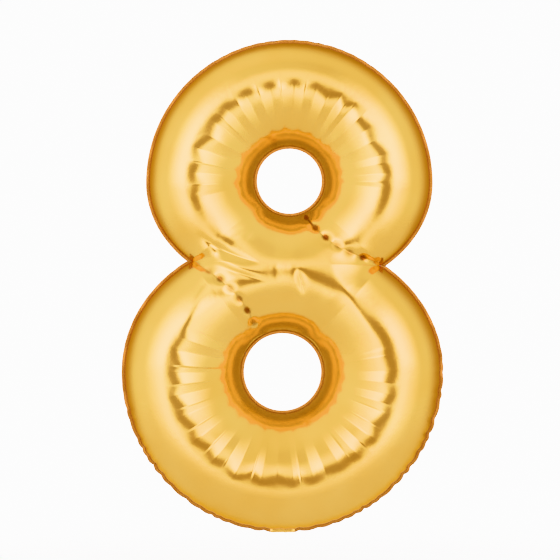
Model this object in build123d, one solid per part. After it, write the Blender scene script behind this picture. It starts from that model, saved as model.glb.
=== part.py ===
from build123d import *
import os
from math import asin, cos, degrees, pi, radians, sin, sqrt, tan

# A gas-filled foil balloon in the shape of the figure 8, in millimetres.
# Two sheets of metallised film are welded together round their outline and round
# the two holes, so that each ring of the figure fills out to a fat tube.
# Two rows of short weld dashes cross the waist, so the figure reads as one stroke
# that passes over another. A tail at the bottom holds a flat self-closing valve.
#
# Frame: +X to the right of a person reading the figure, +Y to the back, +Z up.
# The origin is where the tail leaves the bottom of the rim, on the middle plane.

# ---- driving dimensions ----
FILM = 0.6                 # one sheet of film, drawn thicker than the real 0.03
SEAL = 2 * FILM            # two sheets fused together
RIM_WIDTH = 6.0            # welded margin outside the outline
HOLE_MARGIN = 5.0          # welded margin inside each hole
SECTIONS = 12              # sections round each ring
FIRST_SECTION = radians(75)  # clear of the welds and the valve, where the two halves of a ring join
MERIDIAN_STEPS = 240       # steps in working out the film's curve from hole to outline
MERIDIAN_POINTS = 8        # spans of the spline drawn through that curve

# Each ring: middle of the outline, middle of the hole, and three radii.
LOWER_RADIUS = 276.0       # weld line of the lower ring
LOWER_WAIST_RADIUS = 235.0 # the same, measured up towards the waist
LOWER_HOLE_RADIUS = 72.0
LOWER_HOLE_DROP = 2.0      # the hole sits this much below the ring's own middle
UPPER_RADIUS = 245.0
UPPER_WAIST_RADIUS = 190.0
UPPER_HOLE_RADIUS = 61.0
UPPER_HOLE_RISE = 5.0
UPPER_SHIFT = 12.0         # the upper ring leans to the right by this much
HEIGHT = 860.0             # over both rims

# Weld rows across the waist: start at a hole, a point half way, end at a notch.
UPPER_WELD = [(41.0, 550.5), (88.0, 504.0), (162.0, 473.5)]
LOWER_WELD = [(-50.0, 367.0), (-95.0, 432.0), (-148.0, 468.0)]
WELD_DASHES = 7
DASH_LENGTH = 12.0
DASH_WIDTH = 5.0
PASSAGE = 1.5              # half the height left for gas between the two groove floors
GROOVE_ANGLE = 12.0        # slope of a groove's walls, from straight in
GROOVE_RUN_OUT = 12.0      # how far a groove runs past its row of dashes
GROOVE_TOP = 120.0         # a groove is cut from beyond the tube's crest

# Tail and valve.
TAIL_LENGTH = 58.0
TAIL_ROOT_WIDTH = 44.0
TAIL_MOUTH_WIDTH = 38.0
TAIL_CORNER = 4.0
TAIL_ROOT_GAP = 1.5        # from the fold line to the tail's first edge
TAIL_EDGE_SEAL = 4.0
TAIL_FOLD = 102.0          # the tail is folded back by this much from hanging down
VALVE_WIDTH = 26.0
VALVE_EDGE_WELD = 2.5
VALVE_FILM = 0.4           # one valve film, drawn thicker than the real 0.04
VALVE_CHANNEL = 0.2        # gap between the two valve films
VALVE_PLY_GAP = 0.2        # from a valve film to the film of the tail round it
VALVE_RUN = 8.2            # straight length through the rim
VALVE_BEND_RADIUS = 60.0
VALVE_BEND = 62.0          # the valve curls towards the back sheet by this angle
VALVE_STEP = 0.4           # gap between the straight run and the free films
MOUTH_RECESS = 6.0         # the valve starts this far inside the tail's mouth
CLEARANCE = 0.1

# ---- worked out from those ----
LOWER_MIDDLE = (0.0, RIM_WIDTH + LOWER_RADIUS)
UPPER_MIDDLE = (UPPER_SHIFT, HEIGHT - RIM_WIDTH - UPPER_RADIUS)
LOWER_HOLE = (0.0, LOWER_MIDDLE[1] - LOWER_HOLE_DROP)
UPPER_HOLE = (UPPER_SHIFT, UPPER_MIDDLE[1] + UPPER_HOLE_RISE)
VALVE_HALF_STACK = VALVE_CHANNEL / 2 + VALVE_FILM
PLY_INNER = VALVE_HALF_STACK + VALVE_PLY_GAP

os.makedirs("parts", exist_ok=True)


def write(shape, name):
    """Writes one node and prints its volume."""
    export_step(shape, f"parts/{name}.step")
    print(f"{name}: {len(shape.solids())} solid(s), {shape.volume:.0f} mm3")


def outline_reach(middle, hole, radius, waist_radius, waist_side, direction):
    """Distance from the hole's middle to the outline, along a direction in X and Z.
    The outline is a circle on the free side and an ellipse on the waist side."""
    along_x, along_z = direction
    upright = waist_radius if along_z * waist_side > 0 else radius
    offset = hole[1] - middle[1]
    a = (along_x / radius) ** 2 + (along_z / upright) ** 2
    b = 2 * offset * along_z / upright**2
    c = (offset / upright) ** 2 - 1
    return (-b + sqrt(b * b - 4 * a * c)) / (2 * a)


def trace_film(inner, outer, sine):
    """Steps along the film from a hole's weld to the outline's weld, as (radius, depth) points.
    Slack film carries no load round the ring, so its curvature grows in proportion to the radius.
    sine is that of its slope at the hole. The slope at the outline is square to the middle plane."""
    stiffening = 2 * (1 + sine) / (outer**2 - inner**2)
    points = [(inner, 0.0)]
    for k in range(MERIDIAN_STEPS):
        ahead = 1 - (k + 0.5) / MERIDIAN_STEPS
        radius = outer - (outer - inner) * ahead**2
        step = 2 * (outer - inner) * ahead / MERIDIAN_STEPS
        slope = sine - stiffening * (radius**2 - inner**2) / 2
        depth = points[-1][1] + slope / sqrt(1 - slope**2) * step
        reached = outer - (outer - inner) * (1 - (k + 1) / MERIDIAN_STEPS) ** 2
        points.append((reached, depth))
    return points


def film_curve(inner, outer):
    """The film's slope at the hole, and points on its curve, such that it ends on the middle plane."""
    low, high = 0.5, 0.98
    while high - low > 1e-6:
        sine = (low + high) / 2
        if trace_film(inner, outer, sine)[-1][1] > 0:
            high = sine
        else:
            low = sine
    points = trace_film(inner, outer, low)[:: MERIDIAN_STEPS // MERIDIAN_POINTS]
    points[-1] = (outer, 0.0)
    return asin(low), points


def half_tube(middle, hole, radius, waist_radius, hole_radius, waist_side, inset):
    """The front half of one ring, as a solid: sections of the filled tube, lofted round the hole.
    inset draws both welds in by that much, and the crest by about three quarters of it."""
    sections = []
    for k in range(SECTIONS + 1):
        angle = FIRST_SECTION + 2 * pi * k / SECTIONS
        direction = (cos(angle), sin(angle))
        reach = outline_reach(middle, hole, radius, waist_radius, waist_side, direction)
        inner, outer = hole_radius + inset, reach - inset
        slope, points = film_curve(inner, outer)
        across = Vector(direction[0], 0, direction[1])
        centre = Vector(hole[0], 0, hole[1])
        plane = Plane(origin=centre, x_dir=across, z_dir=across.cross(Vector(0, -1, 0)))
        film = Spline(*points, tangents=[(cos(slope), sin(slope)), (0, -1)])
        floor = Line((outer, 0), (inner, 0))
        sections.append(Wire([plane * film, plane * floor]))
    middle_section = SECTIONS // 2
    left = Solid.make_loft(sections[: middle_section + 1])
    right = Solid.make_loft(sections[middle_section:])
    return left + right


def weld_arc(row):
    """The arc through a row's three points: its middle, radius, first angle and sweep."""
    first, halfway, last = [Vector(x, 0, z) for x, z in row]
    arc = ThreePointArc(first, halfway, last)
    centre = arc.arc_center
    spoke = first - centre
    start = Vector(1, 0, 0).get_signed_angle(spoke, Vector(0, -1, 0))
    sweep = spoke.get_signed_angle(last - centre, Vector(0, -1, 0))
    return centre, arc.radius, start, sweep


def along_weld(row, profile_points, from_share, to_share, run_out=0.0):
    """Turns a profile, given as (distance off the weld line, depth in Y), along part of a row."""
    centre, radius, start, sweep = weld_arc(row)
    side = 1 if sweep > 0 else -1
    spare = degrees(run_out / radius) * side
    begin = start + sweep * from_share - spare
    swing = sweep * (to_share - from_share) + 2 * spare
    corners = [(radius + off, depth, 0) for off, depth in profile_points]
    face = make_face(Polyline(*corners, close=True))
    solid = revolve(face, Axis((0, 0, 0), (0, -1, 0)), abs(swing))
    first_angle = begin if side > 0 else begin + swing
    return Pos(*centre) * Rot(0, -first_angle, 0) * solid


def groove(row, inset):
    """What a row of welds takes out of the front half: a tapering trench with a flat floor."""
    slope = tan(radians(GROOVE_ANGLE))
    wall = inset / cos(radians(GROOVE_ANGLE))
    floor_depth = -(PASSAGE + FILM - inset)
    floor_half = DASH_WIDTH / 2 + wall
    top_half = floor_half + GROOVE_TOP * slope
    profile = [
        (-floor_half, floor_depth),
        (floor_half, floor_depth),
        (top_half, floor_depth - GROOVE_TOP),
        (-top_half, floor_depth - GROOVE_TOP),
    ]
    return along_weld(row, profile, 0.0, 1.0, GROOVE_RUN_OUT)


def half_body(inset, grooved=True):
    """The front half of the whole figure, as a solid, drawn in by inset."""
    upper = half_tube(
        UPPER_MIDDLE, UPPER_HOLE, UPPER_RADIUS, UPPER_WAIST_RADIUS, UPPER_HOLE_RADIUS, -1, inset
    )
    lower = half_tube(
        LOWER_MIDDLE, LOWER_HOLE, LOWER_RADIUS, LOWER_WAIST_RADIUS, LOWER_HOLE_RADIUS, 1, inset
    )
    body = upper + lower
    if grooved:
        body = body - groove(UPPER_WELD, inset) - groove(LOWER_WELD, inset)
    return body


def valve_slot():
    """The gap at the bottom of both sheets that the flat valve passes through."""
    width = VALVE_WIDTH + 2 * CLEARANCE
    depth = 2 * (VALVE_HALF_STACK + CLEARANCE)
    return Pos(0, 0, RIM_WIDTH) * Box(width, depth, 4 * RIM_WIDTH)


def sheets():
    """The front and back sheets: bulged shells, one the mirror of the other."""
    front = half_body(0.0) - half_body(FILM) - valve_slot()
    back = mirror(front, Plane.XZ)
    return front, back


def margin_plate(outline, middle):
    """One ring's outline as a plate as thick as two sheets, ready for cutting."""
    radius, waist_radius, waist_side = outline
    free_half = Circle(radius) & Pos(0, -waist_side * radius) * Rectangle(2 * radius, 2 * radius)
    waist_half = Ellipse(radius, waist_radius)
    waist_half = waist_half & Pos(0, waist_side * radius) * Rectangle(2 * radius, 2 * radius)
    flat = extrude(free_half + waist_half, SEAL / 2, both=True)
    return Pos(middle[0], 0, middle[1]) * Rot(90, 0, 0) * flat


def rim_seal():
    """The welded margin round the outside of the figure."""
    grow = RIM_WIDTH
    upper = margin_plate((UPPER_RADIUS + grow, UPPER_WAIST_RADIUS + grow, -1), UPPER_MIDDLE)
    lower = margin_plate((LOWER_RADIUS + grow, LOWER_WAIST_RADIUS + grow, 1), LOWER_MIDDLE)
    plate = upper + lower
    body = half_body(0.0, grooved=False)
    for hole, radius in ((UPPER_HOLE, UPPER_HOLE_RADIUS), (LOWER_HOLE, LOWER_HOLE_RADIUS)):
        plug = Pos(hole[0], 0, hole[1]) * Rot(90, 0, 0) * Cylinder(radius + RIM_WIDTH, 2 * SEAL)
        plate = plate - plug
    ring = plate - body - mirror(body, Plane.XZ)
    outer = max(ring.solids(), key=lambda solid: solid.bounding_box().size.Z)
    return outer - valve_slot()


def hole_seal(hole, radius):
    """The welded margin inside one hole: a flat ring that the tube wraps round."""
    body = half_body(0.0, grooved=False)
    ring = Cylinder(radius + RIM_WIDTH, SEAL) - Cylinder(radius - HOLE_MARGIN, 2 * SEAL)
    ring = Pos(hole[0], 0, hole[1]) * Rot(90, 0, 0) * ring
    ring = ring - body - mirror(body, Plane.XZ)
    reach = radius + 1.0
    kept = [s for s in ring.solids() if s.bounding_box().size.X < 2 * reach]
    return max(kept, key=lambda solid: solid.volume)


def weld_dashes(row):
    """One row of short welds that tie the two groove floors together."""
    _, radius, _, sweep = weld_arc(row)
    share = DASH_LENGTH / (radius * radians(abs(sweep)))
    pitch = (1.0 - share) / (WELD_DASHES - 1)
    profile = [
        (-DASH_WIDTH / 2, -PASSAGE),
        (DASH_WIDTH / 2, -PASSAGE),
        (DASH_WIDTH / 2, PASSAGE),
        (-DASH_WIDTH / 2, PASSAGE),
    ]
    dashes = [along_weld(row, profile, k * pitch, k * pitch + share) for k in range(WELD_DASHES)]
    return Compound(children=dashes)


def folded(shape):
    """Takes a piece of the tail from hanging straight down to folded back behind the balloon."""
    return shape.rotate(Axis.X, TAIL_FOLD)


def slab(width, low, high, near, far):
    """A flat box centred on X = 0, from low to high in Z and from near to far in Y."""
    size = (width, far - near, high - low)
    return Pos(0, (near + far) / 2, (low + high) / 2) * Box(*size)


def tail_ply(near, far):
    """One sheet's tongue: a tapering tab with rounded corners at its mouth."""
    root, mouth = -TAIL_ROOT_GAP, -TAIL_LENGTH
    corners = [
        (-TAIL_ROOT_WIDTH / 2, root),
        (TAIL_ROOT_WIDTH / 2, root),
        (TAIL_MOUTH_WIDTH / 2, mouth),
        (-TAIL_MOUTH_WIDTH / 2, mouth),
    ]
    face = make_face(Polyline(*corners, close=True))
    mouth_corners = face.vertices().sort_by(Axis.Y)[:2]
    face = fillet(mouth_corners, TAIL_CORNER)
    ply = extrude(face, far - near)
    return folded(Pos(0, far, 0) * Rot(90, 0, 0) * ply)


def tail_edge_seals():
    """The two welded edges of the tail, between its plies."""
    strips = []
    low, high = -TAIL_LENGTH + TAIL_CORNER, -TAIL_ROOT_GAP
    for side in (-1, 1):
        middle = side * (TAIL_MOUTH_WIDTH - TAIL_EDGE_SEAL) / 2
        strip = slab(TAIL_EDGE_SEAL, low, high, -PLY_INNER, PLY_INNER)
        strips.append(folded(Pos(middle, 0, 0) * strip))
    return Compound(children=strips)


def inlet_film(side):
    """The part of one valve film that lies in the tail. side is -1 at the front, 1 at the back."""
    near, far = sorted((side * VALVE_CHANNEL / 2, side * VALVE_HALF_STACK))
    return folded(slab(VALVE_WIDTH, MOUTH_RECESS - TAIL_LENGTH, -TAIL_ROOT_GAP, near, far))


def inlet_edge_welds():
    """The two edges where the valve films are welded to each other, in the tail."""
    welds = []
    for side in (-1, 1):
        middle = side * (VALVE_WIDTH - VALVE_EDGE_WELD) / 2
        low, high = MOUTH_RECESS - TAIL_LENGTH, -TAIL_ROOT_GAP
        weld = slab(VALVE_EDGE_WELD, low, high, -VALVE_CHANNEL / 2, VALVE_CHANNEL / 2)
        welds.append(folded(Pos(middle, 0, 0) * weld))
    return Compound(children=welds)


def valve_throat():
    """The flat tube of valve film that passes through the rim."""
    outside = slab(VALVE_WIDTH, CLEARANCE, VALVE_RUN, -VALVE_HALF_STACK, VALVE_HALF_STACK)
    channel_width = VALVE_WIDTH - 2 * VALVE_EDGE_WELD
    channel = slab(channel_width, -1.0, VALVE_RUN + 1.0, -VALVE_CHANNEL / 2, VALVE_CHANNEL / 2)
    return outside - channel


def valve_tongue(side):
    """The free part of one valve film, inside the balloon, curling to the back."""
    start = VALVE_RUN + VALVE_STEP
    middle = side * (VALVE_CHANNEL + VALVE_FILM) / 2
    bend_centre = (VALVE_BEND_RADIUS, start)
    inner = VALVE_BEND_RADIUS - middle - VALVE_FILM / 2
    outer = inner + VALVE_FILM
    near_arc = CenterArc(bend_centre, inner, 180 - VALVE_BEND, VALVE_BEND)
    far_arc = CenterArc(bend_centre, outer, 180 - VALVE_BEND, VALVE_BEND)
    ends = [Line(near_arc @ k, far_arc @ k) for k in (0, 1)]
    face = make_face([near_arc, far_arc, *ends])
    strip = extrude(face, VALVE_WIDTH / 2, both=True)
    return Rot(0, 0, 90) * Rot(90, 0, 0) * strip


front_sheet, back_sheet = sheets()
write(front_sheet, "front_panel")
write(back_sheet, "back_panel")
write(rim_seal(), "rim_seal")
write(hole_seal(UPPER_HOLE, UPPER_HOLE_RADIUS), "upper_hole_seal")
write(hole_seal(LOWER_HOLE, LOWER_HOLE_RADIUS), "lower_hole_seal")
write(weld_dashes(UPPER_WELD), "upper_waist_welds")
write(weld_dashes(LOWER_WELD), "lower_waist_welds")
write(tail_ply(-PLY_INNER - FILM, -PLY_INNER), "tail_front_ply")
write(tail_ply(PLY_INNER, PLY_INNER + FILM), "tail_back_ply")
write(tail_edge_seals(), "tail_edge_seals")
write(inlet_film(-1), "inlet_front_film")
write(inlet_film(1), "inlet_back_film")
write(inlet_edge_welds(), "inlet_edge_welds")
write(valve_throat(), "valve_throat")
write(valve_tongue(-1), "valve_front_film")
write(valve_tongue(1), "valve_back_film")
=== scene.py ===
from math import pi, radians

import bpy
import numpy as np
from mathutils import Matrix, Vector


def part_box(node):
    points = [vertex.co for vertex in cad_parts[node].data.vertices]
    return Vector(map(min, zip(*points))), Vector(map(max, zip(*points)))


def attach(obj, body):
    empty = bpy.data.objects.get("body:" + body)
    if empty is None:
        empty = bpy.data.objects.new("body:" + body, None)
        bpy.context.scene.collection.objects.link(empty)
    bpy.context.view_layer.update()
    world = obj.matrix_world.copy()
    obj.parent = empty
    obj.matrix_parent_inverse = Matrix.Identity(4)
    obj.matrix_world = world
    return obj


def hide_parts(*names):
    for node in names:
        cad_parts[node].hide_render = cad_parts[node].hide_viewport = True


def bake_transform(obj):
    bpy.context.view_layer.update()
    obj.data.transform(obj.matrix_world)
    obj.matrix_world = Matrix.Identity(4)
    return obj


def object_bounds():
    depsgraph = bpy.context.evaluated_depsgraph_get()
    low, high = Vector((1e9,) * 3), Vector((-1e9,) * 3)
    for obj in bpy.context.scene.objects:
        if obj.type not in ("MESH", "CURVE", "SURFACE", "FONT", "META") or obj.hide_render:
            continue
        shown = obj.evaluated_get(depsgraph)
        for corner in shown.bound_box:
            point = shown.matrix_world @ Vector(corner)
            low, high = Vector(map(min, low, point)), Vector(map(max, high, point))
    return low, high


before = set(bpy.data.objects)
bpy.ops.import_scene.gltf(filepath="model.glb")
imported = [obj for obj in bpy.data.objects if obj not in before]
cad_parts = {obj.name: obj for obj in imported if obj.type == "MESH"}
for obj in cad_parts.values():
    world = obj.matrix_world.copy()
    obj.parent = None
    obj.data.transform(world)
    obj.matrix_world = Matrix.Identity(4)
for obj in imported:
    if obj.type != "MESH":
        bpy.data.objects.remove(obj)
cad_low, cad_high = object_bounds()

# ---- The figure's plan: two rings that share a waist ----
# A foil figure is cut flat from two films and welded round its outline and its holes.
# Full of gas, each ring is a fat tube, and the two tubes run into each other at the waist.

MM = 0.001                   # lengths are written in millimetres and kept in metres


class Ring:
    """One ring of the figure: the middle of its hole, the hole's weld and its outline."""

    def __init__(self, seal_node, middle_z, radius, waist_radius, waist_side):
        low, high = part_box(seal_node)
        self.hole = np.array([(low.x + high.x) / 2, (low.z + high.z) / 2])
        self.hole_radius = (high.x - low.x) / 2
        self.middle_z = middle_z
        self.radius = radius
        self.waist_radius = waist_radius
        self.waist_side = waist_side

    def reach(self, angle, grow=0.0):
        """Distance from the hole's middle to the outline: a circle, or an ellipse on the waist
        side."""
        along_x, along_z = np.cos(angle), np.sin(angle)
        wide = self.radius + grow
        upright = np.where(along_z * self.waist_side > 0, self.waist_radius + grow, wide)
        offset = self.hole[1] - self.middle_z
        a = (along_x / wide) ** 2 + (along_z / upright) ** 2
        b = 2 * offset * along_z / upright**2
        c = (offset / upright) ** 2 - 1
        return (-b + np.sqrt(b * b - 4 * a * c)) / (2 * a)

    def angle_to(self, point):
        """Direction of a point from the hole's middle."""
        return np.arctan2(point[1] - self.hole[1], point[0] - self.hole[0])


panel_low, panel_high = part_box("front_panel")
LOWER_RADIUS = (panel_high.x - panel_low.x) / 2
UPPER_RADIUS = 245 * MM
LOWER_WAIST_RADIUS = 235 * MM
UPPER_WAIST_RADIUS = 190 * MM
lower = Ring(
    "lower_hole_seal", panel_low.z + LOWER_RADIUS, LOWER_RADIUS, LOWER_WAIST_RADIUS, 1
)
upper = Ring(
    "upper_hole_seal", panel_high.z - UPPER_RADIUS, UPPER_RADIUS, UPPER_WAIST_RADIUS, -1
)


def notch(side):
    """Where the two outlines cross, on the left (-1) or right (1), found by halving."""
    near, far = 0.0, lower.radius
    while far - near > 1e-7:
        x = (near + far) / 2
        height = [
            ring.middle_z + ring.waist_side * ring.waist_radius
            * np.sqrt(max(0.0, 1 - ((x * side - ring.hole[0]) / ring.radius) ** 2))
            for ring in (lower, upper)
        ]
        if height[0] > height[1]:
            near = x
        else:
            far = x
    return np.array([side * near, height[0]])


left_notch, right_notch = notch(-1), notch(1)


def waist_line(x):
    """Height of the straight line between the two notches."""
    rise = right_notch[1] - left_notch[1]
    return left_notch[1] + (x - left_notch[0]) * rise / (right_notch[0] - left_notch[0])

# ---- The gold sheets ----
# Front and back: polyester film 12 microns thick with vapour-coated aluminium and a gold lacquer,
# on polyethylene that welds. Gas stretches it tight across each tube and leaves it slack round
# the ring, so it pleats towards the holes and gathers at the outline.

WAIST_COLUMNS = 160          # columns of the mesh that run into the waist
OUTLINE_STEP = 2.6 * MM      # mesh columns along the free outline
ROWS = 92                    # from the hole's weld to the outline
WAIST_DEPTH = 65 * MM        # half the balloon's depth in the middle of the waist
CURVE_STEPS = 4000           # steps that the film's curve is worked out in
CURVE_POINTS = 400           # points kept of it
WAIST_FULLNESS = 2.6         # how square the waist's section is: 2 is an ellipse
NOTCH_EASE = 16              # columns over which the tube's width is evened out
NOTCH_CLEAR = 34             # columns from a notch before rows are spaced for the waist


def film_curve(inner, outer):
    """The film's curve from a hole's weld to the outline's, evenly spaced along it, as shares
    of the tube's width. Film that is slack round the ring curves in proportion to its
    distance from the ring's axis."""
    ahead = 1 - (np.arange(CURVE_STEPS) + 0.5) / CURVE_STEPS
    radius = outer - (outer - inner) * ahead**2
    step = 2 * (outer - inner) * ahead / CURVE_STEPS
    low, high = 0.5, 0.98
    while high - low > 1e-9:
        sine = (low + high) / 2
        slope = sine - (1 + sine) * (radius**2 - inner**2) / (outer**2 - inner**2)
        rise = slope / np.sqrt(1 - slope**2) * step
        if rise.sum() > 0:
            high = sine
        else:
            low = sine
    run = np.concatenate([[0], np.cumsum(np.hypot(rise, step))])
    share = np.linspace(0, 1, CURVE_POINTS) * run[-1]
    out = np.interp(share, run, np.concatenate([[0], np.cumsum(step)])) / (outer - inner)
    up = np.interp(share, run, np.concatenate([[0], np.cumsum(rise)])) / (outer - inner)
    return out, up


CURVE_OUT, CURVE_UP = film_curve(lower.hole_radius, lower.radius)
CURVE_SHARE = np.linspace(0, 1, len(CURVE_OUT))
CREST_SHARE = float(CURVE_SHARE[np.argmax(CURVE_UP)])


def smooth(low, high, value):
    """0 below low, 1 above high, and an even S between them."""
    t = np.clip((value - low) / (high - low), 0, 1)
    return t * t * (3 - 2 * t)


def waist_height(share):
    """Half the depth along the waist, from the left notch at 0 to the right notch at 1."""
    return WAIST_DEPTH * np.sqrt(np.clip(1 - np.abs(2 * share - 1) ** WAIST_FULLNESS, 0, 1))


def columns(ring):
    """Directions and ends of one ring's mesh columns, anticlockwise from a notch. Free columns
    end on the outline, and waist columns end on shared points of the waist."""
    turn = ring.waist_side        # the upper ring's free outline starts at the right notch
    start = right_notch if turn < 0 else left_notch
    finish = left_notch if turn < 0 else right_notch
    first = ring.angle_to(start)
    sweep = (ring.angle_to(finish) - first) % (2 * pi)
    count = int(sweep * ring.radius / OUTLINE_STEP)
    free = first + sweep * np.arange(count) / count
    share = np.arange(WAIST_COLUMNS) / WAIST_COLUMNS
    points = finish + (start - finish) * share[:, None]
    waist = np.arctan2(points[:, 1] - ring.hole[1], points[:, 0] - ring.hole[0])
    ends = np.concatenate([ring.reach(free), np.hypot(*(points - ring.hole).T)])
    along = share if turn < 0 else 1 - share
    heights = np.concatenate([np.zeros(count), waist_height(along)])
    return np.concatenate([free, waist]), ends, heights, count


def full_width(ring, ends, heights):
    """Where a column's tube would close if it went on past the waist, so that it is as high
    there as the waist is."""
    near, far = ends.copy(), ends * 3
    for _ in range(50):
        outer = (near + far) / 2
        width = outer - ring.hole_radius
        there = np.interp((ends - ring.hole_radius) / width, CURVE_OUT, CURVE_UP) * width
        low = there < heights
        near = np.where(low, outer, near)
        far = np.where(low, far, outer)
    return np.where(heights > 0, (near + far) / 2, ends)


def ring_grid(ring):
    """One ring's film, as arrays of column by row: distance from the hole's middle, height
    and share of the curve."""
    angles, ends, heights, count = columns(ring)
    outer = full_width(ring, ends, heights)
    width = outer - ring.hole_radius
    last = np.interp((ends - ring.hole_radius) / width, CURVE_OUT, CURVE_SHARE)
    # rows are spaced for the waist only well away from the notches, so they don't step there
    index = np.arange(len(angles))
    after_notch = np.clip(np.minimum(index - count, len(angles) - index), 0, None)
    own = smooth(0, NOTCH_CLEAR, after_notch)[:, None]
    rows = np.linspace(0, 1, ROWS + 1)[None, :]
    share = rows * (1 - own + own * last[:, None])
    whole = np.interp(rows, CURVE_SHARE, CURVE_OUT) * (ends - ring.hole_radius)[:, None]
    cut = np.interp(last[:, None] * rows, CURVE_SHARE, CURVE_OUT) * width[:, None]
    reach = ring.hole_radius + (1 - own) * whole + own * cut
    # the tube's width is evened out, except near the outline, so a notch doesn't crease it
    spread = np.arange(-3 * NOTCH_EASE, 3 * NOTCH_EASE + 1)
    bell = np.exp(-0.5 * (spread / NOTCH_EASE) ** 2)
    even = sum(weight * np.roll(outer, shift) for weight, shift in zip(bell / bell.sum(), spread))
    local = even[:, None] + (outer - even)[:, None] * smooth(0.4, 1.0, rows)
    width = local - ring.hole_radius
    height = np.interp((reach - ring.hole_radius) / width, CURVE_OUT, CURVE_UP) * width
    height[:, 0] = 0
    height[:count, -1] = 0
    return {
        "ring": ring, "angles": angles, "reach": reach,
        "height": height, "share": share, "free": count,
    }


# Weld rows across the waist, as three points each, from a hole to a notch.
UPPER_ROW = np.array([[41.0, 550.5], [88.0, 504.0], [162.0, 473.5]]) * MM
LOWER_ROW = np.array([[-50.0, 367.0], [-95.0, 432.0], [-148.0, 468.0]]) * MM
WELD_DASHES = 7
# How hard the bar burnt each dash, from the hole out. This sets the dimple's depth and how dark the
# dash is painted: the bar's browning with painted shade of its pit.
UPPER_DASH_MARK = np.array([1.0, 0.9, 1.0, 0.45, 0.6, 1.0, 0.3])
LOWER_DASH_MARK = np.array([0.6, 0.95, 0.75, 0.5, 0.85, 0.45, 0.25])
DIMPLE = 3.4 * MM            # how far the film dips over a dash
DIMPLE_LENGTH = 9 * MM
DIMPLE_WIDTH = 7.5 * MM
CREASE = 2.0 * MM            # and along the row between dashes
CREASE_WIDTH = 5 * MM
DARK_SPOT_LENGTH = 7.8 * MM     # half of the darkened spot on a dash: the bar's browning with painted shade of its pit
# the darkened spot's half width, across the row: browning with painted shade
DARK_SPOT_WIDTH = 6.0 * MM
ROW_AND_HOLE_SHADE = 0.22             # painted shade along a row's crease, and round a hole's weld
ROW_START_SHADE = 0.7        # more painted shade where the upper row's crease leaves its hole


def row_points(row, count=121):
    """Points evenly spaced along the arc through a weld row's three points."""
    a, b, c = row
    ab, ac = b - a, c - a
    cross = 2 * (ab[0] * ac[1] - ab[1] * ac[0])
    centre = a + np.array([
        ac[1] * (ab @ ab) - ab[1] * (ac @ ac), ab[0] * (ac @ ac) - ac[0] * (ab @ ab)
    ]) / cross
    radius = np.hypot(*(a - centre))
    first, last = (np.arctan2(*(p - centre)[::-1]) for p in (a, c))
    sweep = (last - first + pi) % (2 * pi) - pi
    angle = first + sweep * np.linspace(0, 1, count)
    return centre + radius * np.stack([np.cos(angle), np.sin(angle)], 1)


def row_length(row):
    """Length of the arc through a weld row's three points."""
    points = row_points(row)
    return np.hypot(*np.diff(points, axis=0).T).sum()


def near_line(x, z, line):
    """Distance from each point to a line of points, and how far along it the nearest point is."""
    best = np.full(x.shape, 1e9)
    along = np.zeros(x.shape)
    for k in range(len(line) - 1):
        a, step = line[k], line[k + 1] - line[k]
        off_x, off_z = x - a[0], z - a[1]
        t = np.clip((off_x * step[0] + off_z * step[1]) / (step @ step), 0, 1)
        d = np.hypot(off_x - t * step[0], off_z - t * step[1])
        closer = d < best
        best = np.where(closer, d, best)
        along = np.where(closer, (k + t) / (len(line) - 1), along)
    return best, along


def weld_row(x, z, row):
    """For one row of weld dashes: distance along it from the nearest dash, distance from the
    row, the dash, and the share of the row."""
    distance, along = near_line(x, z, row_points(row, 61))
    place = along * (WELD_DASHES - 1)
    nearest = np.clip(np.round(place), 0, WELD_DASHES - 1).astype(int)
    return (place - nearest) * row_length(row) / (WELD_DASHES - 1), distance, nearest, along


def fold(x, z, points, height, spread):
    """A crease along a smooth line, which dies away on both sides: a ridge, or a valley where
    height is negative."""
    points = np.array(points) * MM
    t = np.linspace(0, 1, 24)[:, None]
    line = (1 - t) ** 2 * points[0] + 2 * t * (1 - t) * points[1] + t**2 * points[2]
    distance, along = near_line(x, z, line)
    fade = smooth(0, 0.45, along) * smooth(0, 0.45, 1 - along)
    round_off = 0.3 * spread * MM
    rounded = np.sqrt(distance**2 + round_off**2) - round_off
    return height * MM * fade * np.exp(-rounded / (spread * MM))


# Creases in the slack film of the waist: three points, height and spread, in millimetres.
WAIST_CREASES = [
    ([(-150, 526), (-106, 482), (-20, 466)], -4.5, 5),
    ([(-152, 507), (-106, 462), (-12, 449)], 4.2, 12),
    ([(-120, 474), (-84, 450), (-14, 436)], -2.4, 6),
    ([(-12, 560), (-16, 470), (-8, 350)], -1.6, 15),
    ([(16, 560), (18, 470), (22, 350)], 1.4, 15),
    ([(26, 464), (32, 438), (36, 408)], -3.4, 6),
    ([(60, 520), (112, 400), (184, 310)], 3.0, 20),
    ([(-126, 460), (-148, 396), (-188, 310)], 3.0, 20),
]


PLEAT_DEPTH = 2.5 * MM
PLEAT_GROW = (0.14, 0.38)    # where pleats start and are whole, as shares of the film's curve
PLEAT_END = (0.12, 0.04)     # where they fade, before and after the crest
USUAL_PLEAT = radians(8)     # the pleat that is as deep as its depth says


def pleat_edges(start, finish, pitch, rng):
    """Directions of the creases of a fan of pleats, with pleats of uneven width."""
    count = int(round((finish - start) / pitch))
    widths = rng.uniform(0.55, 1.45, count)
    return start + (finish - start) * np.concatenate([[0], np.cumsum(widths)]) / widths.sum()


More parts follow.
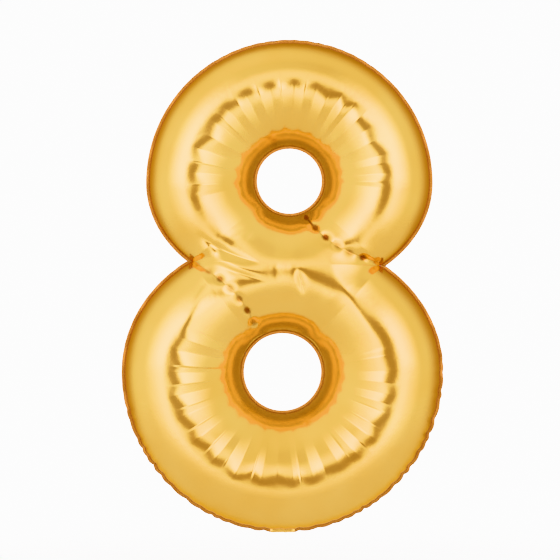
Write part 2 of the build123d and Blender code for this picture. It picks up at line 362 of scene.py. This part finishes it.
def pleats(grid, start, finish, pitch, deep, rng):
    """How far a fan of pleats lifts or sinks the film between a hole and the crest."""
    edges = pleat_edges(radians(start), radians(finish), radians(pitch), rng)
    angle = (grid["angles"] - edges[0]) % (2 * pi)
    inside = angle <= edges[-1] - edges[0]
    slot = np.clip(np.searchsorted(edges - edges[0], angle) - 1, 0, len(edges) - 2)
    width = np.diff(edges)[slot]
    across = np.clip((angle - (edges - edges[0])[slot]) / width, 0, 1)
    crest = np.where(np.arange(len(edges)) % 2 == 0, 0.62, -0.62) + rng.normal(0, 0.34, len(edges))
    reach_out = rng.uniform(-0.03, 0.02, len(edges))
    reach_out = (reach_out[slot] * (1 - across) + reach_out[slot + 1] * across)[:, None]
    shape = crest[slot] * (1 - across) + crest[slot + 1] * across - 0.4
    share = grid["share"]
    before, after = PLEAT_END
    fade = smooth(CREST_SHARE - before + reach_out, CREST_SHARE + after + reach_out, share)
    grow = smooth(*PLEAT_GROW, share) * (1 - fade)
    ends = smooth(0, radians(4), angle) * smooth(0, radians(4), edges[-1] - edges[0] - angle)
    arc = (width / USUAL_PLEAT)[:, None]
    return np.where(inside, shape * ends, 0)[:, None] * grow * arc * deep


GATHER_PITCH = radians(5.1)
SLIGHT_GATHER = 0.3 * MM     # how far the outline is drawn in at any gather
DEEP_GATHER = 2.4 * MM       # and how much more in the deep stretch


def gathers(grid, deep_from, deep_to, rng):
    """How far each column's outline is drawn in where the film gathers at the outer weld."""
    edges = pleat_edges(0, 2 * pi, GATHER_PITCH, rng)
    angle = grid["angles"] % (2 * pi)
    slot = np.clip(np.searchsorted(edges, angle) - 1, 0, len(edges) - 2)
    across = (angle - edges[slot]) / np.diff(edges)[slot]
    depth = rng.uniform(0.5, 1.3, len(edges))
    depth[-1] = depth[0]
    between = depth[slot] * (1 - across) + depth[slot + 1] * across
    pinch = (1 - np.abs(np.sin(pi * across))) * between
    middle = radians((deep_from + deep_to) / 2)
    off = np.abs((angle - middle + pi) % (2 * pi) - pi)
    half = (deep_to - deep_from) / 2
    strong = 1 - smooth(radians(half), radians(half + 30), off)
    return pinch * (SLIGHT_GATHER + DEEP_GATHER * strong)


def weld_grids(grids):
    """One mesh of both rings, which share the waist's points: the points used, the quads, and
    each ring's point numbers by column and row."""
    low, up = grids
    n_low, n_up = len(low["angles"]), len(up["angles"])
    index_low = np.arange(n_low * (ROWS + 1)).reshape(n_low, ROWS + 1)
    index_up = np.arange(n_up * (ROWS + 1)).reshape(n_up, ROWS + 1) + index_low.size
    # the lower ring's waist runs from the right notch to the left, the upper ring's back again
    low_waist = np.concatenate([index_low[low["free"]:, -1], index_low[:1, -1]])
    up_waist = np.concatenate([index_up[up["free"]:, -1], index_up[:1, -1]])
    merge = np.arange(index_low.size + index_up.size)
    merge[up_waist] = low_waist[::-1]
    quads = []
    for index in (index_low, index_up):
        after = np.roll(index, -1, axis=0)
        corners = [index[:, :-1], after[:, :-1], after[:, 1:], index[:, 1:]]
        quads.append(np.stack(corners, -1).reshape(-1, 4))
    quads = merge[np.concatenate(quads)]
    used, packed = np.unique(quads, return_inverse=True)
    return used, packed.reshape(-1, 4), (index_low, index_up)


def neighbours(quads):
    """Every edge of the mesh, both ways."""
    sides = np.concatenate([quads[:, [k, (k + 1) % 4]] for k in range(4)])
    sides = np.unique(np.sort(sides, axis=1), axis=0)
    return np.concatenate([sides, sides[:, ::-1]])


def normals_of(points, quads):
    """Area-weighted normal of each point."""
    a = points[quads[:, 2]] - points[quads[:, 0]]
    b = points[quads[:, 3]] - points[quads[:, 1]]
    face = np.cross(a, b)
    total = np.stack([
        sum(np.bincount(quads[:, k], face[:, axis], minlength=len(points)) for k in range(4))
        for axis in range(3)
    ], 1)
    return total / np.maximum(np.linalg.norm(total, axis=1, keepdims=True), 1e-12)


def columns_off(grid):
    """How many columns each one is from the nearest column that ends at a notch."""
    count = len(grid["angles"])
    index = np.arange(count)
    return np.minimum(np.minimum(index, count - index), np.abs(index - grid["free"]))


WAIST_SMOOTHING = 240        # rounds of evening out where the two rings meet
WAIST_BAND = 52 * MM         # how far from the waist that reaches
NOTCH_BAND = 22              # and how many columns from a notch
EASE = 0.7                   # share of the way to its neighbours' mean, each round
OUTLINE_SEED = 11            # both sheets gather alike, because one weld holds them
UPPER_GATHER = 0.25          # the upper ring's gathers are this much of the lower's


def by_point(grids, fields, used):
    """One value a column, or a column and row, as one value for each point of the mesh."""
    spread = [
        np.broadcast_to(f if f.ndim == 2 else f[:, None], g["share"].shape).ravel()
        for f, g in zip(fields, grids)
    ]
    return np.concatenate(spread)[used]


def sheet_points(side, seed):
    """Points and faces of one gold sheet, the points of its outline's seam, and how dark each point
    is painted: the bar's browning with painted shade on the dashes, and painted shade along the
    rows and round the holes. side is -1 for the front and 1 for the back."""
    rng = np.random.default_rng(seed)
    outline_rng = np.random.default_rng(OUTLINE_SEED)
    grids = [ring_grid(lower), ring_grid(upper)]
    drawn_in = [
        gathers(grids[0], -150, -10, outline_rng),
        gathers(grids[1], 60, 120, outline_rng) * UPPER_GATHER,
    ]
    lift = [
        pleats(grids[0], -208, 17, 6.6, PLEAT_DEPTH, rng),
        pleats(grids[1], -7, 192, 7.0, PLEAT_DEPTH, rng),
    ]
    flat = []
    for grid in grids:
        x = grid["ring"].hole[0] + grid["reach"] * np.cos(grid["angles"])[:, None]
        z = grid["ring"].hole[1] + grid["reach"] * np.sin(grid["angles"])[:, None]
        flat.append((x.ravel(), grid["height"].ravel(), z.ravel()))
    x, height, z = (np.concatenate([f[k] for f in flat]) for k in range(3))
    used, quads, index = weld_grids(grids)
    x, height, z = x[used], height[used], z[used]
    lift = by_point(grids, lift, used)
    rows = by_point(grids, [np.arange(ROWS + 1)[None, :]] * 2, used)
    out = by_point(grids, drawn_in, used)
    free = by_point(grids, [np.arange(len(g["angles"])) <= g["free"] for g in grids], used)
    edge = (rows == 0) | ((rows == ROWS) & (height < 1e-6))

    both = neighbours(quads)
    # a nearer neighbour counts for more, so no slope bends where the columns' spacing changes
    pull = 1 / np.hypot(x[both[:, 0]] - x[both[:, 1]], z[both[:, 0]] - z[both[:, 1]])
    total_pull = np.bincount(both[:, 0], pull, minlength=len(x))
    waist_off = np.abs(z - waist_line(x))
    from_notch = by_point(grids, [columns_off(g) for g in grids], used)
    near_waist = np.exp(-((waist_off / WAIST_BAND) ** 2))
    near_notch = np.exp(-((from_notch / NOTCH_BAND) ** 2))
    ease = np.where(edge, 0, EASE * np.maximum(near_waist, near_notch))
    # the height's square is evened out: it rises evenly from a weld, and the height doesn't
    square = height**2
    for _ in range(WAIST_SMOOTHING):
        mean = np.bincount(both[:, 0], pull * square[both[:, 1]], minlength=len(x)) / total_pull
        square = square + ease * (mean - square)
    height = np.sqrt(square)
    for row, strengths in ((UPPER_ROW, UPPER_DASH_MARK), (LOWER_ROW, LOWER_DASH_MARK)):
        gap, distance, nearest, _ = weld_row(x, z, row)
        oval = np.exp(-((gap / DIMPLE_LENGTH) ** 2) - (distance / DIMPLE_WIDTH) ** 2)
        dip = DIMPLE * (0.1 + 0.9 * strengths[nearest]) * oval
        dip = dip + CREASE * np.exp(-distance / CREASE_WIDTH)
        height = height - dip * smooth(0, 26 * MM, height)
    settle = smooth(0, 22 * MM, height)
    turned = 1 if side < 0 else -0.92     # the back's creases are the front's, turned over
    for crease, rise, spread in WAIST_CREASES:
        placed = [(px * turned, pz) for px, pz in crease]
        height = height + fold(x, z, placed, rise, spread) * settle

    points = np.stack([x, side * height, z], 1)
    if side > 0:
        quads = quads[:, ::-1]
    normals = normals_of(points, quads)
    facing = np.where(edge, 0, 1)
    points = points + normals * (lift * facing)[:, None]
    # the seam is drawn in towards the ring's own hole, and the film near it follows
    near_seam = smooth(0.80, 1.0, rows / ROWS) * free
    in_lower = np.arange(len(used)) < np.searchsorted(used, index[1][0, 0])
    hole = np.where(in_lower[:, None], lower.hole, upper.hole)
    inward = hole - points[:, [0, 2]]
    inward = inward / np.linalg.norm(inward, axis=1, keepdims=True)
    points[:, [0, 2]] += inward * (out * near_seam)[:, None]
    seam = [points[np.searchsorted(used, index[k][: grids[k]["free"], -1])] for k in (0, 1)]
    # how dark each point is painted: fully on a dash, as the bar's browning with painted shade of
    # its pit, and a little along the rows and round the holes, as painted shade of the creases and
    # of the hollow round the hole
    scorch_and_shade = np.zeros(len(x))
    for row, strengths in ((UPPER_ROW, UPPER_DASH_MARK), (LOWER_ROW, LOWER_DASH_MARK)):
        gap, distance, nearest, along = weld_row(x, z, row)
        ragged = 1 + 0.25 * np.sin(1700 * x + 900 * z) * np.sin(1300 * z)
        oval = np.hypot(gap / DARK_SPOT_LENGTH, distance / DARK_SPOT_WIDTH) * ragged
        scorch_and_shade = np.maximum(scorch_and_shade, (1 - smooth(0.5, 1.15, oval)) * strengths[nearest])
        # painted shade along the row's crease, stronger where the upper row leaves its hole
        line = ROW_AND_HOLE_SHADE
        if row is UPPER_ROW:
            line = ROW_AND_HOLE_SHADE + ROW_START_SHADE * (1 - smooth(0.1, 0.3, along))
        scorch_and_shade = np.maximum(scorch_and_shade, (1 - smooth(0.6 * MM, 3.4 * MM, distance)) * line)
    # painted shade round each hole's weld, fading out over 30 mm
    for ring in (lower, upper):
        from_hole = np.hypot(x - ring.hole[0], z - ring.hole[1]) - ring.hole_radius
        scorch_and_shade = np.maximum(scorch_and_shade, ROW_AND_HOLE_SHADE * (1 - smooth(4 * MM, 30 * MM, from_hole)))
    return points, quads, seam, scorch_and_shade


def make_piece(name, points, faces, material, smooth_shaded=True):
    """A mesh object with one material."""
    mesh = bpy.data.meshes.new(name)
    mesh.from_pydata([tuple(p) for p in points], [], [tuple(int(i) for i in f) for f in faces])
    mesh.materials.append(material)
    if smooth_shaded:
        mesh.polygons.foreach_set("use_smooth", [True] * len(mesh.polygons))
    mesh.update()
    piece = bpy.data.objects.new(name, mesh)
    bpy.context.scene.collection.objects.link(piece)
    return piece


def linear(code):
    """An sRGB hex colour as linear red, green, blue and alpha."""
    values = [int(code[k:k + 2], 16) / 255 for k in (1, 3, 5)]
    return [
        v / 12.92 if v <= 0.04045 else ((v + 0.055) / 1.055) ** 2.4 for v in values
    ] + [1.0]


def node(tree, kind, settings=None, **links):
    """Adds a node. settings are its properties and socket values. links are outputs joined to
    its inputs, by name, or by number as i0, i1 and so on."""
    made = tree.nodes.new(kind)
    for key, value in (settings or {}).items():
        if hasattr(made, key):
            setattr(made, key, value)
        else:
            made.inputs[key].default_value = value
    for key, value in links.items():
        numbered = key[0] == "i" and key[1:].isdigit()
        tree.links.new(value, made.inputs[int(key[1:]) if numbered else key.replace("_", " ")])
    return made


def new_material(name):
    """An empty material, with its tree and its Principled shader already joined to the output."""
    material = bpy.data.materials.new(name)
    material.use_nodes = True
    tree = material.node_tree
    tree.nodes.clear()
    shader = node(tree, "ShaderNodeBsdfPrincipled")
    node(tree, "ShaderNodeOutputMaterial", Surface=shader.outputs["BSDF"])
    return material, tree, shader


# A texture's scale is one over its real size, so these are set as sizes.
LACQUER_PATCH = 111.1 * MM   # the lacquer's colour drifts over about a hand's breadth
FILM_RIPPLE = 18.18 * MM     # thin film ripples a finger's width apart


def gold_film():
    """Metallised polyester under a gold lacquer: aluminium gives the mirror, the lacquer tints
    it a deep gold, and the film's thinness gives a faint ripple."""
    material, tree, shader = new_material("gold_lacquered_metallised_film")
    place = node(tree, "ShaderNodeTexCoord")
    patches = node(
        tree, "ShaderNodeTexNoise", {"Scale": 1 / LACQUER_PATCH, "Detail": 2.0},
        Vector=place.outputs["Object"],
    )
    tint = node(tree, "ShaderNodeValToRGB", Fac=patches.outputs["Fac"])
    tint.color_ramp.elements[0].position = 0.35
    tint.color_ramp.elements[0].color = linear("#F5C765")
    tint.color_ramp.elements[1].position = 0.65
    tint.color_ramp.elements[1].color = linear("#F8CF70")
    # brown mixed in from the sheet's point attribute: the bar's browning with painted shade on the
    # dashes, and painted shade along the row creases and round the holes
    browning_and_shade = node(tree, "ShaderNodeAttribute", {"attribute_name": "scorch_and_shade"})
    browned_and_shaded = node(
        tree, "ShaderNodeMix", {"data_type": "RGBA"},
        i0=browning_and_shade.outputs["Fac"], i6=tint.outputs["Color"],
    )
    browned_and_shaded.inputs[7].default_value = linear("#8A4A20")
    tree.links.new(browned_and_shaded.outputs[2], shader.inputs["Base Color"])
    shader.inputs["Metallic"].default_value = 1.0
    shader.inputs["Specular Tint"].default_value = linear("#FFD9A0")
    wear = node(
        tree, "ShaderNodeMapRange", {"To Min": 0.09, "To Max": 0.15},
        Value=patches.outputs["Fac"],
    )
    dull = node(
        tree, "ShaderNodeMath", {"operation": "MULTIPLY_ADD"},
        i0=browning_and_shade.outputs["Fac"], i2=wear.outputs["Result"],
    )
    dull.inputs[1].default_value = 0.3
    tree.links.new(dull.outputs[0], shader.inputs["Roughness"])
    ripple = node(
        tree, "ShaderNodeTexNoise", {"Scale": 1 / FILM_RIPPLE, "Detail": 3.0},
        Vector=place.outputs["Object"],
    )
    bump = node(
        tree, "ShaderNodeBump", {"Strength": 0.12, "Distance": 1.5 * MM},
        Height=ripple.outputs["Fac"],
    )
    tree.links.new(bump.outputs["Normal"], shader.inputs["Normal"])
    return material


gold = gold_film()
for name, side, seed, node_name in (
    ("back_gold_sheet", 1, 9, "back_panel"),
    ("front_gold_sheet", -1, 4, "front_panel"),
):
    points, faces, seam, scorch_and_shade = sheet_points(side, seed)
    piece = make_piece(name, points, faces, gold)
    # the point attribute holds the painted darkening: the bar's browning with painted shade on the
    # dashes, and painted shade along the rows and round the holes
    layer = piece.data.attributes.new("scorch_and_shade", "FLOAT", "POINT")
    layer.data.foreach_set("value", scorch_and_shade.astype(np.float32))
    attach(piece, "balloon")
    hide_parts(node_name)

# ---- Welded margins ----
# Outside the outline and inside each hole the two films are fused by a hot bar, which leaves a
# flat margin with a fine grid pressed into it. It is duller and browner than the free film.


BAR_GRID = 1.111 * MM        # squares of the grid on the hot bar


def weld_film():
    """Fused gold film: the hot bar's grid dulls the mirror and darkens the lacquer."""
    material, tree, shader = new_material("heat_welded_gold_film")
    place = node(tree, "ShaderNodeTexCoord")
    grid = node(
        tree, "ShaderNodeTexChecker", {"Scale": 1 / BAR_GRID},
        Vector=place.outputs["Object"],
    )
    shader.inputs["Base Color"].default_value = linear("#A8743C")
    shader.inputs["Metallic"].default_value = 1.0
    shader.inputs["Roughness"].default_value = 0.34
    bump = node(
        tree, "ShaderNodeBump", {"Strength": 0.3, "Distance": 0.3 * MM},
        Height=grid.outputs["Fac"],
    )
    tree.links.new(bump.outputs["Normal"], shader.inputs["Normal"])
    return material


welded = weld_film()
MARGIN_THICKNESS = 0.3 * MM
RIM_WIDTH = 6 * MM
HOLE_MARGIN = 5 * MM
MARGIN_ROWS = 4
HOLE_MARGIN_COLUMNS = 240
RIM_WAVE = 0.8 * MM          # how far the free edge bends out of plane
HOLE_WAVE = 0.4 * MM


def band_faces(count, pairs):
    """Quads between closed lines of count points each, for each pair of lines."""
    here = np.arange(count)
    after = np.roll(here, -1)
    return np.concatenate([
        np.stack([a * count + here, a * count + after, b * count + after, b * count + here], 1)
        for a, b in pairs
    ])


def strip(inner, outer, wave, seed):
    """A margin between two closed lines of points, as a thin band. wave bends its free edge
    in and out of plane."""
    rng = np.random.default_rng(seed)
    count = len(inner)
    phase = np.linspace(0, 2 * pi, count, endpoint=False)
    bend = sum(
        rng.normal(0, 1) * np.sin(k * phase + rng.uniform(0, 2 * pi)) for k in range(18, 60, 3)
    ) * wave / 4
    layers = []
    for side in (-1, 1):
        for row in range(MARGIN_ROWS + 1):
            share = row / MARGIN_ROWS
            point = inner + (outer - inner) * share
            depth = bend * share**2 + side * MARGIN_THICKNESS / 2
            layers.append(np.stack([point[:, 0], depth, point[:, 1]], 1))
    points = np.concatenate(layers)
    order = list(range(MARGIN_ROWS + 1)) + list(range(2 * MARGIN_ROWS + 1, MARGIN_ROWS, -1))
    return points, band_faces(count, list(zip(order, order[1:] + order[:1])))


def rim_lines():
    """The seam all the way round, anticlockwise from the right notch, and the margin's outer
    edge beside it."""
    inner, outer = [], []
    for ring, ring_seam, first in ((upper, seam[1], right_notch), (lower, seam[0], left_notch)):
        flat = ring_seam[:, [0, 2]]
        angles = np.arctan2(*(flat - ring.hole).T[::-1])
        gathered = ring.reach(angles) - np.hypot(*(flat - ring.hole).T)
        grown = ring.reach(angles, RIM_WIDTH) - gathered
        edge = ring.hole + grown[:, None] * np.stack([np.cos(angles), np.sin(angles)], 1)
        waist_z = waist_line(edge[:, 0])
        past = ring.waist_side * (edge[:, 1] - waist_z) > 0
        edge[:, 1] = np.where(past, waist_z, edge[:, 1])
        inner.append(flat)
        outer.append(edge)
    return np.concatenate(inner), np.concatenate(outer)


rim_inner, rim_outer = rim_lines()
rim = make_piece("welded_rim", *strip(rim_inner, rim_outer, RIM_WAVE, seed=5), welded)
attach(rim, "balloon")
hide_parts("rim_seal")

around = np.linspace(0, 2 * pi, HOLE_MARGIN_COLUMNS, endpoint=False)
spoke = np.stack([np.cos(around), np.sin(around)], 1)
for ring, name, node_name in (
    (upper, "upper_hole_margin", "upper_hole_seal"),
    (lower, "lower_hole_margin", "lower_hole_seal"),
):
    hole_seam = ring.hole + spoke * ring.hole_radius
    free_edge = ring.hole + spoke * (ring.hole_radius - HOLE_MARGIN)
    piece = make_piece(name, *strip(hole_seam, free_edge, HOLE_WAVE, seed=6), welded)
    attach(piece, "balloon")
    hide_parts(node_name)


SCORCH_PATCH = 2.5 * MM      # patches of browned lacquer on a dash


def repaint(node_names, material):
    """Gives nodes that keep their own shape the material of the real piece."""
    for node_name in node_names:
        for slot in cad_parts[node_name].material_slots:
            slot.material = material


def weld_mark():
    """A weld dash: the lacquer scorches brown and dull where the bar pinches the two films."""
    material, tree, shader = new_material("scorched_weld_dash")
    place = node(tree, "ShaderNodeTexCoord")
    patches = node(
        tree, "ShaderNodeTexNoise", {"Scale": 1 / SCORCH_PATCH, "Detail": 2.0},
        Vector=place.outputs["Object"],
    )
    tint = node(tree, "ShaderNodeValToRGB", Fac=patches.outputs["Fac"])
    tint.color_ramp.elements[0].color = linear("#6B3A12")
    tint.color_ramp.elements[1].color = linear("#96571E")
    tree.links.new(tint.outputs["Color"], shader.inputs["Base Color"])
    shader.inputs["Metallic"].default_value = 0.7
    shader.inputs["Roughness"].default_value = 0.45
    return material


repaint(("upper_waist_welds", "lower_waist_welds"), weld_mark())

# ---- Tail and valve ----
# The filling tail is a sleeve of the same two films, welded along its sides, that leaves the bottom
# of the outline. Once the balloon is full it is turned back, and the crease holds it there.
# The valve inside is a flat tube of clear polyethylene, which only shows at the tail's mouth.

# The tail's lengths are millimetres until its mesh is made.
TAIL_FOLD = radians(102)
TAIL_LENGTH = 58.0
TAIL_ROOT = 10               # how far inside the outline's seam the sleeve starts
BEND_RADIUS = 1.2
TAIL_GAP = 0.9               # from the middle of the sleeve to each ply
TAIL_PUFF = 0.4              # how much further apart the free film is
ROOT_HALF, MOUTH_HALF, CORNER = 22.0, 19.0, 4.0


def tail_rows():
    """The sleeve's middle line, row by row: its depth and height, the outward direction, and
    the length along the tail."""
    tangent = BEND_RADIUS * np.tan(TAIL_FOLD / 2)
    rows = [((0.0, z), (-1.0, 0.0), 0.0) for z in np.linspace(TAIL_ROOT, tangent, 9)]
    for turn in np.linspace(0, TAIL_FOLD, 12)[1:]:
        out = np.array([-np.cos(turn), -np.sin(turn)])
        rows.append((np.array([BEND_RADIUS, tangent]) + BEND_RADIUS * out, out, 0.0))
    ahead = np.array([np.sin(TAIL_FOLD), -np.cos(TAIL_FOLD)])
    ends = TAIL_LENGTH - CORNER * (1 - np.sin(np.linspace(0, pi / 2, 7)))
    straight = np.linspace(tangent, TAIL_LENGTH - CORNER, 34)[1:-1]
    for reach in np.concatenate([straight, ends]):
        rows.append((ahead * reach, out, reach))
    return rows


def tail_sleeve():
    """The sleeve's points and faces: both plies, joined along the welded sides and puffed a
    little between them."""
    columns = 36
    share = np.linspace(-1, 1, columns + 1)
    points = []
    for middle, out, reach in tail_rows():
        half = ROOT_HALF + (MOUTH_HALF - ROOT_HALF) * reach / TAIL_LENGTH
        into = max(0.0, reach - (TAIL_LENGTH - CORNER))
        half -= CORNER - np.sqrt(CORNER**2 - into**2)
        free = smooth(2.0, 16.0, np.array(reach))
        for side in (1, -1):
            x = share[::side] * half
            puff = np.sin(0.21 * reach + 0.16 * x * side)
            puff = puff + 0.6 * np.sin(0.37 * x + 0.11 * reach + side)
            apart = TAIL_GAP + TAIL_PUFF * free * np.clip(puff + 0.6, 0, 2.2)
            off = side * (1 - np.abs(x / half) ** 8) * apart
            ply = np.stack([x, middle[0] + off * out[0], middle[1] + off * out[1]], 1)
            points.append(ply if side > 0 else ply[1:-1])
    rows = len(points) // 2
    faces = band_faces(2 * columns, [(k, k + 1) for k in range(rows - 1)])
    return np.concatenate(points) * MM, faces


tail = make_piece("filling_tail", *tail_sleeve(), gold)
for node_name in ("tail_front_ply", "tail_back_ply", "tail_edge_seals"):
    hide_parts(node_name)
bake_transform(tail)


HAZE_PATCH = 4.545 * MM      # milky patches of the clear film


def clear_film():
    """Clear polyethylene: blown thin, so it is glossy and faintly milky."""
    material, tree, shader = new_material("clear_polyethylene_film")
    place = node(tree, "ShaderNodeTexCoord")
    haze = node(
        tree, "ShaderNodeTexNoise", {"Scale": 1 / HAZE_PATCH, "Detail": 2.0},
        Vector=place.outputs["Object"],
    )
    blur = node(
        tree, "ShaderNodeMapRange", {"To Min": 0.12, "To Max": 0.3}, Value=haze.outputs["Fac"]
    )
    tree.links.new(blur.outputs["Result"], shader.inputs["Roughness"])
    shader.inputs["Base Color"].default_value = linear("#E6ECEE")
    shader.inputs["Transmission Weight"].default_value = 0.65
    shader.inputs["IOR"].default_value = 1.5
    return material


repaint((
    "inlet_front_film", "inlet_back_film", "inlet_edge_welds",
    "valve_throat", "valve_front_film", "valve_back_film",
), clear_film())

# ---- Camera, floor and light ----
# Not part of the balloon: a level camera in front of it, a white floor below it, and a white
# room with a soft box at each side of the camera, which the gold mirrors.

FRAME_WIDTH = 0.98           # width of the view at the balloon's middle plane
LENS = 100.0
SENSOR = 36.0
AIM = Vector((-0.0044, 0.0, 0.441))
camera_data = bpy.data.cameras.new("camera")
camera_data.lens = LENS
camera_data.sensor_width = SENSOR
camera = bpy.data.objects.new("camera", camera_data)
bpy.context.scene.collection.objects.link(camera)
camera.location = AIM - Vector((0, FRAME_WIDTH * LENS / SENSOR, 0))
camera.rotation_euler = (pi / 2, 0, 0)
bpy.context.scene.camera = camera


# How bright the room is in each direction. A row makes one value: its name, the operation, and
# what that works on, which is earlier values or numbers. FALLOFF goes smoothly between two
# levels: the value, where it starts and ends, and the level before and after. off_axis is how
# far a direction is from the camera's axis, as a sine.
LIGHT_STEPS = (
    ("sideways", "ABSOLUTE", "x"),
    ("front", "MULTIPLY", "y", -1.0),
    ("axial", "MULTIPLY", "y", "y"),
    ("across", "SUBTRACT", 1.0, "axial"),
    ("off_axis", "SQRT", "across"),
    ("some_off_axis", "MAXIMUM", "off_axis", 0.01),
    ("beside", "DIVIDE", "sideways", "some_off_axis"),
    # strong soft boxes at the camera's sides, from about 10 degrees to 65
    ("lights_start", "FALLOFF", "off_axis", 0.15, 0.33, 0.0, 1.0),
    ("box_end", "FALLOFF", "off_axis", 0.48, 0.92, 1.0, 0.0),
    ("box_sides", "FALLOFF", "beside", 0.35, 0.9, 0.0, 1.0),
    ("box_upper_part", "FALLOFF", "z", -0.08, 0.08, 0.4, 1.05),
    ("box", "MULTIPLY", "lights_start", "box_end"),
    ("box", "MULTIPLY", "box", "box_sides"),
    ("box", "MULTIPLY", "box", "box_upper_part"),
    ("box", "MULTIPLY", "box", 3.0),
    # a weaker ring all round the camera
    ("ring_end", "FALLOFF", "off_axis", 0.38, 0.62, 1.0, 0.0),
    ("ring", "MULTIPLY", "lights_start", "ring_end"),
    ("ring", "MULTIPLY", "ring", 0.8),
    ("glow", "ADD", "box", "ring"),
    ("before", "FALLOFF", "front", 0.0, 0.25, 0.0, 1.0),
    ("glow", "MULTIPLY", "glow", "before"),
    # the room is dimmer behind the balloon, on the right, and above and below the boxes
    ("depth", "FALLOFF", "front", -0.95, 0.25, 0.52, 1.02),
    ("left_to_right", "FALLOFF", "x", -0.35, 0.35, 1.07, 0.96),
    ("room", "MULTIPLY", "depth", "left_to_right"),
    ("dim_start", "FALLOFF", "off_axis", 0.42, 0.6, 0.0, 1.0),
    ("dim_end", "FALLOFF", "off_axis", 0.78, 0.96, 1.0, 0.0),
    ("dim_sides", "FALLOFF", "beside", 0.3, 0.75, 0.1, 0.0),
    ("dim", "MULTIPLY", "dim_start", "dim_end"),
    ("dim", "MULTIPLY", "dim", "dim_sides"),
    ("not_dim", "SUBTRACT", 1.0, "dim"),
    ("room", "MULTIPLY", "room", "not_dim"),
    # the camera and its stand make a soft dim gap
    ("gap", "FALLOFF", "off_axis", 0.06, 0.27, 0.5, 0.0),
    ("gap_before", "FALLOFF", "front", 0.3, 0.6, 0.0, 1.0),
    ("gap", "MULTIPLY", "gap", "gap_before"),
    ("not_gap", "SUBTRACT", 1.0, "gap"),
    ("level", "ADD", "room", "glow"),
    ("level", "MULTIPLY", "level", "not_gap"),
    # from the second bounce on, the boxes are cut to 1.2, or they burn out every fold
    ("once", "LESS_THAN", "ray_depth", 2.5),
    ("limit", "MULTIPLY_ADD", "once", 8.0, 1.2),
    ("level", "MINIMUM", "level", "limit"),
    # dim parts of the room are warm, and light between folds is filled towards white
    ("brightness", "FALLOFF", "level", 0.55, 1.0, 0.0, 1.0),
    ("later", "SUBTRACT", 1.0, "once"),
    ("between_folds", "MULTIPLY", "later", "is_glossy"),
)
DIM_COLOUR = (1.0, 0.76, 0.66, 1.0)
FOLD_FILL = (1.15, 1.2, 3.0, 1.0)
WHITE = (1.0, 1.0, 1.0, 1.0)
WALL_SEEN = 3.0              # the white room as the camera sees it


def studio():
    """A white studio: a wide soft box at each side of the camera, a weaker ring round it, and
    a dim gap where it stands."""
    world = bpy.data.worlds.new("studio")
    bpy.context.scene.world = world
    world.use_nodes = True
    tree = world.node_tree
    tree.nodes.clear()
    place = node(tree, "ShaderNodeTexCoord")
    parts = node(tree, "ShaderNodeSeparateXYZ", Vector=place.outputs["Generated"])
    seen = node(tree, "ShaderNodeLightPath")
    values = {
        "x": parts.outputs["X"], "y": parts.outputs["Y"], "z": parts.outputs["Z"],
        "ray_depth": seen.outputs["Ray Depth"], "is_glossy": seen.outputs["Is Glossy Ray"],
    }
    for name, operation, *operands in LIGHT_STEPS:
        if operation == "FALLOFF":
            made = node(tree, "ShaderNodeMapRange", {"interpolation_type": "SMOOTHSTEP"})
        else:
            made = node(tree, "ShaderNodeMath", {"operation": operation})
        for slot, operand in enumerate(operands):
            if isinstance(operand, str):
                tree.links.new(values[operand], made.inputs[slot])
            else:
                made.inputs[slot].default_value = operand
        values[name] = made.outputs[0]
    colour = node(tree, "ShaderNodeMix", {"data_type": "RGBA"}, i0=values["brightness"])
    colour.inputs[6].default_value = DIM_COLOUR
    colour.inputs[7].default_value = WHITE
    filled = node(
        tree, "ShaderNodeMix", {"data_type": "RGBA"},
        i0=values["between_folds"], i6=colour.outputs[2],
    )
    filled.inputs[7].default_value = FOLD_FILL
    lit = node(
        tree, "ShaderNodeBackground", Strength=values["level"], Color=filled.outputs[2]
    )
    plain = node(tree, "ShaderNodeBackground", {"Color": WHITE, "Strength": WALL_SEEN})
    mix = node(
        tree, "ShaderNodeMixShader",
        i0=seen.outputs["Is Camera Ray"], i1=lit.outputs[0], i2=plain.outputs[0],
    )
    node(tree, "ShaderNodeOutputWorld", Surface=mix.outputs[0])


studio()
bpy.context.scene.view_settings.view_transform = "Khronos PBR Neutral"

FLOOR_DROP = 0.35            # the balloon floats this far above the floor
FLOOR_REACH = 4.0            # half the floor's width
FLOOR_FADE = (0.6, 2.6)      # where the floor starts and ends its fade into the room


def floor_paint():
    """White studio floor, which fades into the white room at its far edge."""
    material, tree, shader = new_material("white_studio_floor")
    shader.inputs["Base Color"].default_value = linear("#F4F4F4")
    shader.inputs["Roughness"].default_value = 0.8
    place = node(tree, "ShaderNodeTexCoord")
    far = node(
        tree, "ShaderNodeVectorMath", {"operation": "LENGTH"}, i0=place.outputs["Object"]
    )
    near_fade, far_fade = FLOOR_FADE
    fade = node(tree, "ShaderNodeMapRange", {
        "interpolation_type": "SMOOTHSTEP",
        "From Min": near_fade, "From Max": far_fade, "To Min": 1.0, "To Max": 0.0,
    }, Value=far.outputs["Value"])
    tree.links.new(fade.outputs["Result"], shader.inputs["Alpha"])
    return material


floor_points = [
    (sx * FLOOR_REACH, sy * FLOOR_REACH, cad_low.z - FLOOR_DROP)
    for sx, sy in ((-1, -1), (1, -1), (1, 1), (-1, 1))
]
floor = make_piece(
    "studio_floor", floor_points, [(0, 1, 2, 3)], floor_paint(), smooth_shaded=False
)
